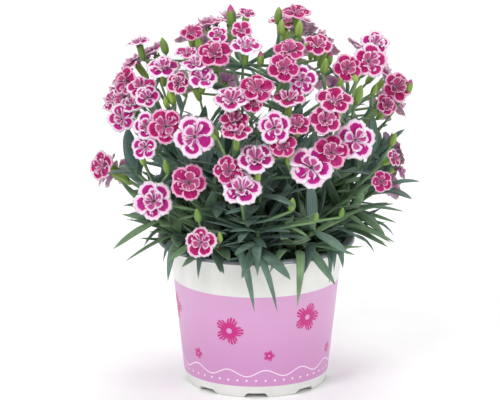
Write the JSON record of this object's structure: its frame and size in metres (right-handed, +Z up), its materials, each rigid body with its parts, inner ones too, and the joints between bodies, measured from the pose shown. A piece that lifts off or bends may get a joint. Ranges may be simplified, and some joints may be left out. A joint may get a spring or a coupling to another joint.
{
  "type": "dianthus plant",
  "caption": "Compact dianthus with fringed double-frilled blooms, buds and narrow keeled leaves, standing in a tapered plastic pot with soil.",
  "frame": {"origin": "centre of the circle that the pot's feet stand on", "axes": "+Z up along the pot's axis, -Y towards the side that the picture shows, +X to its right"},
  "size_m": [0.2174, 0.2114, 0.2561],
  "materials": {
    "pot_plastic": "white moulded plastic, grey inside and on the rim, with a pink printed band",
    "potting_soil": "dark moist potting soil",
    "leaf": "blue-green leaves with a waxy bloom, lighter calyxes and buds",
    "petal": "magenta petals with pale pink to white fringed edges"
  },
  "bodies": {
    "root": {"blooms_back_01": "petal", "blooms_back_02": "petal", "blooms_back_03": "petal", "blooms_back_04": "petal", "blooms_back_05": "petal", "blooms_back_06": "petal", "blooms_back_07": "petal", "blooms_back_08": "petal", "blooms_back_09": "petal", "blooms_back_10": "petal", "blooms_back_11": "petal", "blooms_back_12": "petal", "blooms_back_13": "petal", "blooms_back_14": "petal", "blooms_front_01": "petal", "blooms_front_02": "petal", "blooms_front_03": "petal", "blooms_front_04": "petal", "blooms_front_05": "petal", "blooms_front_06": "petal", "blooms_front_07": "petal", "blooms_front_08": "petal", "blooms_front_09": "petal", "blooms_front_10": "petal", "blooms_front_11": "petal", "blooms_front_12": "petal", "blooms_front_13": "petal", "blooms_front_14": "petal", "blooms_front_15": "petal", "blooms_front_16": "petal", "blooms_front_17": "petal", "blooms_front_18": "petal", "blooms_front_19": "petal", "blooms_front_20": "petal", "blooms_front_21": "petal", "blooms_front_22": "petal", "blooms_front_23": "petal", "blooms_front_24": "petal", "blooms_front_25": "petal", "blooms_front_26": "petal", "blooms_front_27": "petal", "blooms_front_28": "petal", "blooms_front_29": "petal", "blooms_front_30": "petal", "leafy_stems_01": "leaf", "leafy_stems_02": "leaf", "leafy_stems_03": "leaf", "leafy_stems_04": "leaf", "leafy_stems_05": "leaf", "leafy_stems_06": "leaf", "leafy_stems_07": "leaf", "leafy_stems_08": "leaf", "leafy_stems_09": "leaf", "leafy_stems_10": "leaf", "leafy_stems_11": "leaf", "leafy_stems_12": "leaf", "leafy_stems_13": "leaf", "leafy_stems_14": "leaf", "pot": "pot_plastic", "soil": "potting_soil"}
  },
  "joints": []
}
